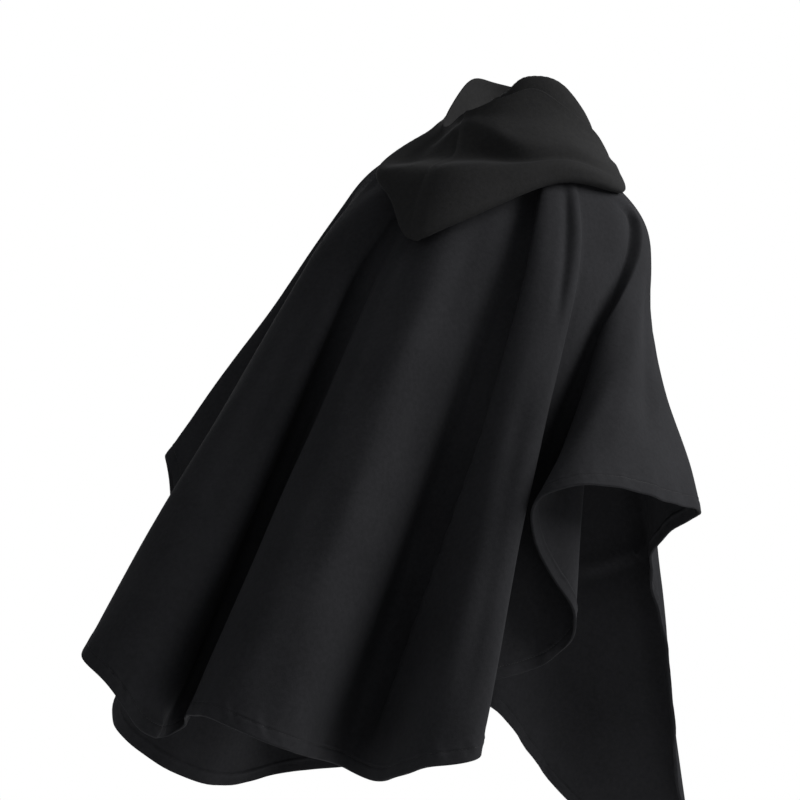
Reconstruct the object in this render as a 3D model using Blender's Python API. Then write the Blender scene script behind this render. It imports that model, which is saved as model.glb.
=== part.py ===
"""Hooded wool poncho with its hood down, held open in the hollow form that it has on a figure.

Metres, +Z up. The garment faces -Y, so +X is its left and +Y is behind.
The origin is the base of the neck, midway between the shoulders, where the garment is held.
Every cloth wall is a grid of points on its outer face and the same grid moved in by the cloth's thickness.
"""

import bpy
import numpy as np
from mathutils import Vector
from mathutils.kdtree import KDTree

# Cloth
CLOTH = 0.0025  # thickness of the felted wool
SEAM_GAP = 0.0003  # clearance between two pieces where they are sewn
HOOD_REST = 0.006  # height of the hood's under layer above the body cloth
WOOL_COLOUR = (0.026, 0.027, 0.030, 1.0)
WOOL_ROUGHNESS = 0.95
WOOL_METALLIC = 0.0
CREASE_ANGLE = 60.0  # degrees between two faces from which their edge is shaded sharp

# Neckline, an ellipse round the base of the neck
NECK_HALF_WIDTH = 0.088
NECK_HALF_DEPTH = 0.078
NECK_BACK_UP = 0.022
NECK_FRONT_UP = -0.035

# Body cloth
SHOULDER_ROUND = 0.60  # share of the run from neckline to knee that is taken up by the bend
STEPS_PER_STATION = 3
FOLD_SPAN = 0.07  # half of the stretch of hem, as a share of it all, whose mean is the hem with no folds
FOLD_SAMPLES = 9  # points of the hem in that mean
RAY_STEPS_SHOULDER = 5
RAY_STEPS_BEND = 6
RAY_STEPS_FALL = 8

# Hood
HOOD_COLUMNS_AROUND = 66
GROUND_COLUMNS = 480  # around, on the finer copy of the body cloth that the hood rests on
GROUND_STEPS = (16, 20, 24)  # down, on the same copy, for the two straights and the bend between them
REST_ROWS = 3.0  # rows above the neckline over which the hood's clearance grows to all of HOOD_REST
HOOD_SEAM_ANGLE = 52.0  # degrees from +X towards +Y: the centre seam, pulled to the garment's left
# How many degrees the cloth's grain leans there at a section's six points, from the collar fold to the rim
HOOD_SEAM_LEAN = (0.0, 1.0, 0.0, -1.0, -7.0, -10.0)
HOOD_ROW_STEPS = (3, 2, 2, 3, 2, 2, 1, 2, 2, 2)  # rows between a section's eleven points
OPEN_TURN = 0.002  # half of the width of the two turns where the hood stands up
FOLD_TURN = 0.006  # half of the width of the same turns where it is folded down
FULL_FOLD = 0.05  # drop from collar fold to bag edge from which the hood counts as folded down
UNDER_SHARE = 0.45  # how far along from collar fold to bag edge the under layer sags the most
UNDER_DIP = 0.20  # sag of the under layer, as a share of the run from collar fold to bag edge
RIM_DIP = 0.09  # hollow of the face below the rim, as a share of its height

# Each row is a section of the hood, cut by an upright plane through the neck's middle.
# From the neckline the cloth rises to the collar fold, turns down to rest on the back, turns up again at the
# bag's edge, and runs over a low ridge, a hollow and a high ridge to the rim round the face opening.
# Where the hood has no bag, at the front, the same points climb a standing wall.
HOOD_SECTION_COLUMNS = (
    "name", "angle", "collar_out", "collar_up", "edge_out", "edge_up", "low_out", "low_up",
    "hollow_out", "hollow_up", "high_out", "high_up", "rim_out", "rim_up",
)
HOOD_SECTIONS = (
    ("front", -90, 0.084, 0.000, 0.092, 0.028, 0.098, 0.054, 0.102, 0.074, 0.105, 0.096, 0.108, 0.120),
    ("front left", -55, 0.090, 0.018, 0.100, 0.046, 0.107, 0.068, 0.111, 0.084, 0.115, 0.104, 0.120, 0.128),
    ("left cheek", -28, 0.094, 0.020, 0.104, 0.038, 0.109, 0.054, 0.113, 0.068, 0.116, 0.086, 0.120, 0.106),
    ("left neck", -8, 0.094, 0.018, 0.116, 0.002, 0.120, 0.013, 0.123, 0.023, 0.125, 0.034, 0.127, 0.048),
    ("left shoulder", 10, 0.096, 0.016, 0.143, -0.013, 0.147, -0.004, 0.145, 0.001, 0.141, 0.005, 0.132, 0.007),
    ("upper corner", 29, 0.094, 0.026, 0.238, -0.112, 0.233, -0.096, 0.196, -0.078, 0.162, -0.046, 0.133, 0.000),
    ("blunt end", 41, 0.091, 0.040, 0.238, -0.158, 0.232, -0.108, 0.186, -0.078, 0.152, -0.022, 0.134, 0.012),
    ("lower corner", 50, 0.089, 0.049, 0.239, -0.208, 0.226, -0.112, 0.174, -0.072, 0.146, -0.010, 0.130, 0.019),
    ("corner", 57, 0.087, 0.056, 0.236, -0.202, 0.222, -0.107, 0.166, -0.071, 0.148, -0.016, 0.126, 0.028),
    ("bag", 67, 0.086, 0.074, 0.212, -0.171, 0.207, -0.098, 0.160, -0.070, 0.154, -0.026, 0.119, 0.040),
    ("nape", 80, 0.084, 0.084, 0.179, -0.132, 0.185, -0.087, 0.157, -0.070, 0.159, -0.040, 0.110, 0.056),
    ("right nape", 105, 0.083, 0.084, 0.145, -0.083, 0.159, -0.059, 0.143, -0.049, 0.143, -0.026, 0.107, 0.046),
    ("right neck", 134, 0.085, 0.060, 0.142, -0.064, 0.149, -0.049, 0.138, -0.040, 0.134, -0.025, 0.106, 0.030),
    ("right end", 160, 0.089, 0.034, 0.150, -0.053, 0.152, -0.041, 0.144, -0.031, 0.136, -0.018, 0.110, 0.018),
    ("right shoulder", 174, 0.091, 0.020, 0.138, -0.036, 0.142, -0.023, 0.137, -0.014, 0.131, -0.004, 0.118, 0.008),
    ("right cheek", 197, 0.092, 0.012, 0.120, -0.012, 0.124, -0.002, 0.123, 0.006, 0.121, 0.014, 0.117, 0.026),
    ("front right", 228, 0.087, -0.004, 0.100, 0.006, 0.104, 0.018, 0.107, 0.028, 0.109, 0.040, 0.110, 0.056),
)

# Each station is one line of the cloth from the neckline to the hem, at a ridge, a hollow or a flank of a fold.
# The knee is where it turns off the shoulder, chest or back, and the hem is its end.
# Bow moves the middle of its fall out (+) or in (-) from the body's axis, as over a bent elbow.
# Late holds a fold back. At 0 it deepens evenly from the knee to the hem, and at 1 by the square of that way.
# They run from the left arm round the back to the right arm, and round the front.
STATION_COLUMNS = ("name", "knee_left", "knee_back", "knee_up", "hem_left", "hem_back", "hem_up", "bow", "late")
STATIONS = (
    ("left arm ridge", 0.216, 0.000, -0.042, 0.445, 0.000, -0.550, 0.000, 0.00),
    ("left arm back flank", 0.222, 0.022, -0.058, 0.415, 0.045, -0.620, 0.000, 0.00),
    ("left arm back hollow", 0.232, 0.040, -0.085, 0.435, 0.100, -0.760, 0.000, 0.00),
    ("outer back fold corner", 0.250, 0.062, -0.128, 0.488, 0.180, -0.852, 0.000, 0.00),
    ("outer back fold face", 0.240, 0.095, -0.150, 0.440, 0.260, -0.890, 0.000, 0.00),
    ("outer back fold inner face", 0.215, 0.124, -0.168, 0.385, 0.270, -0.940, 0.000, 0.00),
    ("first hollow flank", 0.194, 0.134, -0.168, 0.362, 0.225, -0.950, 0.000, 0.00),
    ("first hollow left", 0.178, 0.130, -0.162, 0.353, 0.176, -0.945, 0.000, 0.00),
    ("first hollow right", 0.166, 0.130, -0.158, 0.335, 0.182, -0.930, 0.000, 0.00),
    ("broad fold tuck", 0.155, 0.146, -0.162, 0.327, 0.265, -0.915, 0.000, 0.00),
    ("broad fold left", 0.135, 0.166, -0.168, 0.285, 0.352, -0.915, 0.000, 0.00),
    ("broad fold middle", 0.092, 0.175, -0.165, 0.222, 0.368, -0.930, 0.000, 0.00),
    ("broad fold right", 0.042, 0.170, -0.157, 0.163, 0.318, -0.940, 0.000, 0.20),
    ("second hollow", 0.000, 0.150, -0.140, 0.114, 0.185, -0.945, 0.000, 0.35),
    ("third fold inner flank", -0.022, 0.158, -0.147, 0.066, 0.260, -0.955, 0.000, 0.15),
    ("third fold crest", -0.048, 0.170, -0.160, 0.006, 0.362, -0.925, 0.000, 0.00),
    ("third fold edge", -0.086, 0.160, -0.160, -0.054, 0.345, -0.902, 0.000, 0.00),
    ("third hollow", -0.101, 0.144, -0.152, -0.014, 0.230, -0.830, 0.000, 0.30),
    ("underarm panel", -0.119, 0.132, -0.145, -0.062, 0.190, -0.798, 0.000, 0.40),
    ("underarm fold", -0.137, 0.114, -0.130, -0.143, 0.160, -0.752, 0.000, 0.60),
    ("underarm fold turn", -0.148, 0.102, -0.118, -0.160, 0.190, -0.702, 0.000, 0.70),
    ("right sleeve inner face", -0.157, 0.091, -0.108, -0.112, 0.225, -0.642, 0.000, 0.70),
    ("right sleeve turn", -0.164, 0.080, -0.100, -0.075, 0.262, -0.575, 0.000, 0.70),
    ("right sleeve back corner", -0.172, 0.068, -0.098, -0.110, 0.295, -0.535, 0.000, 0.60),
    ("right sleeve back", -0.179, 0.048, -0.086, -0.185, 0.270, -0.520, 0.000, 0.30),
    ("right sleeve outer back", -0.184, 0.025, -0.072, -0.270, 0.180, -0.515, -0.014, 0.00),
    ("right arm ridge", -0.189, 0.000, -0.060, -0.330, 0.040, -0.505, -0.024, 0.00),
    ("right sleeve front", -0.190, -0.030, -0.070, -0.289, -0.080, -0.549, -0.006, 0.00),
    ("right front edge top", -0.180, -0.048, -0.078, -0.333, -0.165, -0.660, 0.000, 0.00),
    ("right front edge middle", -0.168, -0.062, -0.088, -0.374, -0.220, -0.781, 0.000, 0.00),
    ("right front edge low", -0.157, -0.076, -0.099, -0.416, -0.275, -0.905, 0.000, 0.00),
    ("right front corner", -0.144, -0.090, -0.111, -0.450, -0.325, -1.006, 0.000, 0.00),
    ("right front hem low", -0.122, -0.102, -0.126, -0.345, -0.325, -0.982, 0.000, 0.00),
    ("right front hem", -0.098, -0.112, -0.140, -0.208, -0.300, -0.908, 0.000, 0.00),
    ("right front inner hollow", -0.066, -0.120, -0.150, -0.076, -0.215, -0.812, 0.000, 0.00),
    ("middle front fold", -0.010, -0.132, -0.160, 0.020, -0.320, -0.890, 0.000, 0.00),
    ("left front inner hollow", 0.050, -0.122, -0.155, 0.100, -0.215, -0.940, 0.000, 0.00),
    ("left front broad fold", 0.110, -0.122, -0.150, 0.220, -0.320, -0.975, 0.000, 0.00),
    ("left front outer hollow", 0.150, -0.098, -0.130, 0.320, -0.208, -1.004, 0.000, 0.00),
    ("left front corner fold", 0.190, -0.078, -0.110, 0.440, -0.200, -0.962, 0.000, 0.00),
    ("left front edge", 0.208, -0.055, -0.090, 0.462, -0.120, -0.900, 0.000, 0.00),
    ("left arm front flank", 0.214, -0.026, -0.060, 0.425, -0.040, -0.640, 0.000, 0.00),
)


def columns_of(table, columns, *names):
    """The named columns of a table as an array, one row for each of its rows."""
    picked = [columns.index(name) for name in names]
    return np.array([[row[i] for i in picked] for row in table], float)


def ring_spline(knots, values, at):
    """A smooth closed curve through values at the parameters knots, in 0 to 1, read at the parameters at.

    Its second derivative is continuous all round: the slopes solve the tridiagonal system of a periodic cubic.
    """
    count = len(knots)
    gap = np.diff(np.append(knots, knots[0] + 1.0))
    after = np.roll(values, -1, axis=0)
    rise = (after - values) / gap[:, None]
    system = np.zeros((count, count))
    for i in range(count):
        before = (i - 1) % count
        system[i, before] += gap[i]
        system[i, i] += 2 * (gap[before] + gap[i])
        system[i, (i + 1) % count] += gap[before]
    before_gap = np.roll(gap, 1)[:, None]
    target = 3 * (np.roll(rise, 1, axis=0) * gap[:, None] + rise * before_gap)
    slope = np.linalg.solve(system, target)
    wrapped = (np.asarray(at) - knots[0]) % 1.0 + knots[0]
    span = np.clip(np.searchsorted(knots, wrapped, side="right") - 1, 0, count - 1)
    t = ((wrapped - knots[span]) / gap[span])[:, None]
    width = gap[span][:, None]
    start, end = values[span], after[span]
    start_slope, end_slope = slope[span] * width, np.roll(slope, -1, axis=0)[span] * width
    return (
        start * (2 * t**3 - 3 * t**2 + 1)
        + start_slope * (t**3 - 2 * t**2 + t)
        + end * (3 * t**2 - 2 * t**3)
        + end_slope * (t**3 - t**2)
    )


def ring_knots(points):
    """Parameters for a closed ring of points, spaced by the square root of the distance between them."""
    step = np.sqrt(np.linalg.norm(np.roll(points, -1, axis=0) - points, axis=1))
    return np.concatenate([[0.0], np.cumsum(step)[:-1]]) / step.sum()


def neckline(toward):
    """The point of the neckline ellipse that lies towards each given point, seen from above."""
    angle = np.arctan2(toward[:, 1] / NECK_HALF_DEPTH, toward[:, 0] / NECK_HALF_WIDTH)
    behind = (1 + np.sin(angle)) / 2
    up = NECK_FRONT_UP + (NECK_BACK_UP - NECK_FRONT_UP) * behind
    return np.stack([NECK_HALF_WIDTH * np.cos(angle), NECK_HALF_DEPTH * np.sin(angle), up], axis=1)


def bent_ray(start, knee, end, rounding, steps):
    """Points from start to end by way of knee: straight, then a parabola round the knee, then straight.

    rounding is the share of the run from start to knee that the bend takes. It takes the same length past it.
    steps is how many steps the first straight, the bend and the second straight get.
    """
    first = np.linalg.norm(knee - start, axis=1, keepdims=True)
    second = np.linalg.norm(end - knee, axis=1, keepdims=True)
    reach = rounding * first
    enter = knee + (start - knee) * reach / first
    leave = knee + (end - knee) * reach / second
    over = [start + (enter - start) * t for t in np.linspace(0, 1, steps[0] + 1)[:-1]]
    bend = [
        enter * (1 - t) ** 2 + knee * 2 * t * (1 - t) + leave * t**2
        for t in np.linspace(0, 1, steps[1] + 1)[:-1]
    ]
    fall = [leave + (end - leave) * t for t in np.linspace(0, 1, steps[2] + 1)]
    return np.stack(over + bend + fall, axis=1)


def body_rays(at, steps):
    """The body cloth's outer face: for each parameter in at, a row of points from the neckline to the hem."""
    knees = columns_of(STATIONS, STATION_COLUMNS, "knee_left", "knee_back", "knee_up")
    hems = columns_of(STATIONS, STATION_COLUMNS, "hem_left", "hem_back", "hem_up")
    bow_late = columns_of(STATIONS, STATION_COLUMNS, "bow", "late")
    knots = ring_knots(hems)
    knee = ring_spline(knots, knees, at)
    hem = ring_spline(knots, hems, at)
    rows = bent_ray(neckline(knee), knee, hem, SHOULDER_ROUND, steps)
    fallen = np.clip((rows[:, :, 2] - knee[:, None, 2]) / (hem - knee)[:, None, 2], 0, 1)
    away = knee * (1, 1, 0) / np.linalg.norm(knee[:, :2], axis=1, keepdims=True)
    bow, late = ring_spline(knots, bow_late, at).T[:, :, None]
    swell = bow * np.sin(np.pi * fallen) ** 2
    reach = np.linspace(-FOLD_SPAN, FOLD_SPAN, FOLD_SAMPLES)
    plain = np.mean([ring_spline(knots, hems, at + shift) for shift in reach], axis=0)
    held = fallen ** (1 + np.clip(late, 0, 1)) - fallen
    return rows + swell[:, :, None] * away[:, None] + held[:, :, None] * (hem - plain)[:, None]


def spline_rows(points, steps):
    """Rows read from smooth curves, one through each section's own points.

    points is sections by points by 3. Each curve is a cubic. Its slope at a point is that of the parabola
    through the point and its two neighbours, spaced by the square root of their distance.
    steps gives the rows from each point on.
    """
    gap = np.sqrt(np.linalg.norm(np.diff(points, axis=1), axis=2, keepdims=True)) + 1e-9
    rise = np.diff(points, axis=1) / gap
    middle = (rise[:, :-1] * gap[:, 1:] + rise[:, 1:] * gap[:, :-1]) / (gap[:, 1:] + gap[:, :-1])
    first = 2 * rise[:, :1] - middle[:, :1]
    last = 2 * rise[:, -1:] - middle[:, -1:]
    slope = np.concatenate([first, middle, last], axis=1)
    rows = []
    for i, count in enumerate(steps):
        shares = np.arange(count + (i == len(steps) - 1)) / count
        for t in shares:
            rows.append(
                points[:, i] * (2 * t**3 - 3 * t**2 + 1)
                + slope[:, i] * gap[:, i] * (t**3 - 2 * t**2 + t)
                + points[:, i + 1] * (3 * t**2 - 2 * t**3)
                + slope[:, i + 1] * gap[:, i] * (t**3 - t**2)
            )
    return np.stack(rows, axis=1)


def lift_clear(points, ground, ground_normals, clearance):
    """Points moved out along the ground's normals, until each is its clearance above the ground nearest it."""
    flat = ground.reshape(-1, 3)
    normals = ground_normals.reshape(-1, 3)
    tree = KDTree(len(flat))
    for i, place in enumerate(flat):
        tree.insert(Vector(place), i)
    tree.balance()
    lifted = points.reshape(-1, 3).copy()
    wanted = np.broadcast_to(clearance, points.shape[:2]).ravel()
    for i, place in enumerate(lifted):
        for _ in range(3):
            nearest = tree.find(Vector(place))[1]
            height = (place - flat[nearest]) @ normals[nearest]
            place = place + max(0.0, wanted[i] - height) * normals[nearest]
        lifted[i] = place
    return lifted.reshape(points.shape)


def round_turn(before, turn, after, radius):
    """The two ends of a rounded turn, radius to each side of it, across the line that halves its angle."""
    back = (before - turn) / np.linalg.norm(before - turn, axis=1, keepdims=True)
    ahead = (after - turn) / np.linalg.norm(after - turn, axis=1, keepdims=True)
    across = (ahead - back) / np.linalg.norm(ahead - back, axis=1, keepdims=True)
    return turn - radius * across, turn + radius * across


def hood_surface(ground, ground_normals):
    """The hood's outer face: a closed ring of sections, each a row of points from the neckline to the rim."""
    named = HOOD_SECTION_COLUMNS
    angles = np.radians(columns_of(HOOD_SECTIONS, named, "angle")[:, 0])
    shape = columns_of(HOOD_SECTIONS, named, *named[2:])
    knots = (angles - angles[0]) / (2 * np.pi)
    around = 2 * np.pi * np.arange(HOOD_COLUMNS_AROUND) / HOOD_COLUMNS_AROUND
    upward = np.array([0.0, 0.0, 1.0])

    def facing(lean):
        turn = np.radians(HOOD_SEAM_ANGLE + lean * (1 + np.cos(around)) / 2) + around
        return turn, np.stack([np.cos(turn), np.sin(turn), np.zeros(len(turn))], axis=1)

    place = []
    for i, lean in enumerate(HOOD_SEAM_LEAN):
        turn, toward = facing(lean)
        out_up = ring_spline(knots, shape[:, 2 * i : 2 * i + 2], (turn - angles[0]) / (2 * np.pi))
        place.append(out_up[:, :1] * toward + out_up[:, 1:] * upward)
    place = np.stack(place, axis=1)
    outward = facing(0.0)[1]
    seam = neckline(outward) + SEAM_GAP * upward
    collar, edge = place[:, 0], place[:, 1]
    folded = np.clip((collar[:, 2] - edge[:, 2]) / FULL_FOLD, 0, 1)[:, None]
    run = np.linalg.norm(edge - collar, axis=1, keepdims=True)
    under = collar + UNDER_SHARE * (edge - collar) - UNDER_DIP * run * folded * upward
    high, rim = place[:, -2], place[:, -1]
    rise = np.linalg.norm(rim - high, axis=1, keepdims=True)
    face = (high + rim) / 2 - RIM_DIP * rise * folded * outward
    radius = OPEN_TURN + (FOLD_TURN - OPEN_TURN) * folded
    collar_turn = round_turn(seam, collar, under, radius)
    edge_turn = round_turn(under, edge, place[:, 2], radius)
    points = [seam, *collar_turn, under, *edge_turn, place[:, 2], place[:, 3], high, face, rim]
    points = np.stack(points, axis=1)
    rows = spline_rows(points, HOOD_ROW_STEPS)
    clearance = HOOD_REST * np.clip(np.arange(rows.shape[1]) / REST_ROWS, 0, 1)
    rows[:, 1:] = lift_clear(rows, ground, ground_normals, clearance[None, :])[:, 1:]
    return rows


def grid_normals(points, closed):
    """Unit normals of a grid of points, from its steps along and down. Along, the grid may be a closed ring."""
    if closed:
        along = np.roll(points, -1, axis=0) - np.roll(points, 1, axis=0)
    else:
        along = np.gradient(points, axis=0)
    down = np.gradient(points, axis=1)
    normal = np.cross(down, along)
    return normal / np.maximum(np.linalg.norm(normal, axis=2, keepdims=True), 1e-12)


def wool(name):
    """A plain dark wool material for one piece."""
    material = bpy.data.materials.new(name + "_wool")
    material.use_nodes = True
    shader = material.node_tree.nodes["Principled BSDF"]
    shader.inputs["Base Color"].default_value = WOOL_COLOUR
    shader.inputs["Roughness"].default_value = WOOL_ROUGHNESS
    shader.inputs["Metallic"].default_value = WOOL_METALLIC
    return material


def wall(name, outer, inner):
    """A closed solid between two grids of points, with its four edges closed by strips."""
    across, down = outer.shape[:2]
    verts = np.concatenate([outer.reshape(-1, 3), inner.reshape(-1, 3)])
    number = np.arange(across * down).reshape(across, down)
    back = number + across * down

    def quads(a, b, c, d):
        return np.stack([a, b, c, d], axis=-1).reshape(-1, 4)

    faces = [
        quads(number[:-1, :-1], number[:-1, 1:], number[1:, 1:], number[1:, :-1]),
        quads(back[:-1, :-1], back[1:, :-1], back[1:, 1:], back[:-1, 1:]),
        quads(number[:-1, 0], number[1:, 0], back[1:, 0], back[:-1, 0]),
        quads(number[1:, -1], number[:-1, -1], back[:-1, -1], back[1:, -1]),
        quads(number[0, :-1], back[0, :-1], back[0, 1:], number[0, 1:]),
        quads(number[-1, :-1], number[-1, 1:], back[-1, 1:], back[-1, :-1]),
    ]
    mesh = bpy.data.meshes.new(name)
    mesh.from_pydata(verts.tolist(), [], np.concatenate(faces).tolist())
    mesh.validate()
    mesh.update()
    mesh.shade_smooth()
    mesh.set_sharp_from_angle(angle=np.radians(CREASE_ANGLE))
    mesh.materials.append(wool(name))
    piece = bpy.data.objects.new(name, mesh)
    bpy.context.scene.collection.objects.link(piece)


def panel(grid, columns):
    """Those columns of a closed grid, with the first and the last drawn in by half of the seam's clearance."""
    ahead = np.roll(grid, -1, axis=0) - np.roll(grid, 1, axis=0)
    ahead /= np.linalg.norm(ahead, axis=2, keepdims=True)
    part = grid[columns].copy()
    part[0] += ahead[columns[0]] * SEAM_GAP / 2
    part[-1] -= ahead[columns[-1]] * SEAM_GAP / 2
    return part


def main():
    for old in list(bpy.data.objects):
        bpy.data.objects.remove(old)
    knots = ring_knots(columns_of(STATIONS, STATION_COLUMNS, "hem_left", "hem_back", "hem_up"))
    closed = np.append(knots, 1.0)
    share = np.arange(STEPS_PER_STATION) / STEPS_PER_STATION
    at = (closed[:-1, None] + np.diff(closed)[:, None] * share).ravel()
    steps = (RAY_STEPS_SHOULDER, RAY_STEPS_BEND, RAY_STEPS_FALL)
    outer = body_rays(at, steps)
    inner = outer - CLOTH * grid_normals(outer, closed=True)
    right_arm = [row[0] for row in STATIONS].index("right arm ridge") * STEPS_PER_STATION
    ring = np.arange(len(at))
    for name, columns in (
        ("poncho_back", ring[: right_arm + 1]),
        ("poncho_front", np.append(ring[right_arm:], 0)),
    ):
        wall(name, panel(outer, columns), panel(inner, columns))

    ground = body_rays(np.arange(GROUND_COLUMNS) / GROUND_COLUMNS, GROUND_STEPS)
    hood = hood_surface(ground, grid_normals(ground, closed=True))
    hood_inner = hood - CLOTH * grid_normals(hood, closed=True)
    front = int(round((270 - HOOD_SEAM_ANGLE) / 360 * HOOD_COLUMNS_AROUND))
    ring = np.arange(HOOD_COLUMNS_AROUND)
    for name, columns in (
        ("hood_right", ring[: front + 1]),
        ("hood_left", np.append(ring[front:], 0)),
    ):
        wall(name, panel(hood, columns), panel(hood_inner, columns))


main()
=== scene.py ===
import math

import bpy
import numpy as np
from mathutils import Matrix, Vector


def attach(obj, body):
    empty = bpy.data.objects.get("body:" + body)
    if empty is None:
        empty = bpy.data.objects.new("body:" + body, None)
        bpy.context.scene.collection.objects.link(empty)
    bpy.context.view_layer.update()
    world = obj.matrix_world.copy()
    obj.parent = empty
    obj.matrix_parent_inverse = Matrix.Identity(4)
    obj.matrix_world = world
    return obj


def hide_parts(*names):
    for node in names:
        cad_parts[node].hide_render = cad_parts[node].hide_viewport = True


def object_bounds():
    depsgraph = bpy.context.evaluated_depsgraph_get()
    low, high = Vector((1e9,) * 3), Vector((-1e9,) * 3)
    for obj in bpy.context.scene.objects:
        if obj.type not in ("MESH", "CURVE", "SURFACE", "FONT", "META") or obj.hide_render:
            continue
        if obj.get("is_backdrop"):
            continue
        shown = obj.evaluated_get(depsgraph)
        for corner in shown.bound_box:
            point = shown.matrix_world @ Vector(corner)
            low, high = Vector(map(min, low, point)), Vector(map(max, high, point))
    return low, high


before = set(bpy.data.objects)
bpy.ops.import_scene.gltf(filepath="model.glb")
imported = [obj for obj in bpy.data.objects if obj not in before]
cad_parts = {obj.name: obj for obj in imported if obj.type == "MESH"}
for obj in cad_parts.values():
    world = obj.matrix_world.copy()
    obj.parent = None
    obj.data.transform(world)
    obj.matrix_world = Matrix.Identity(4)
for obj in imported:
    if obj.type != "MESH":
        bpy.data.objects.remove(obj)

cad_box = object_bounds()

# Sizes in metres. +Z is up, the garment's front faces -Y, and +X is its left.

CLOTH = 0.0025
SEWN_GAP = 0.00004
HOOD_REST = 0.006
HEM_BAND = 0.020
HEM_FOLD = 0.0016
HEM_STITCH = 0.0165

NECK_HALF_WIDTH = 0.088
NECK_HALF_DEPTH = 0.078
NECK_BACK_UP = 0.022
NECK_FRONT_UP = -0.035
SHOULDER_ROUND = 0.60
FOLD_SPAN = 0.07
FOLD_SAMPLES = 9

HOOD_COLUMNS = 66
HOOD_SEAM_ANGLE = 52.0
HOOD_SEAM_LEAN = (0.0, 1.0, 0.0, -1.0, -7.0, -10.0)
HOOD_ROW_STEPS = (3, 2, 2, 3, 2, 2, 1, 2, 2, 2)
OPEN_TURN = 0.002
FOLD_TURN = 0.006
FULL_FOLD = 0.05
UNDER_SHARE = 0.45
UNDER_DIP = 0.20
RIM_DIP = 0.09
REST_ROWS = 3.0

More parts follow.
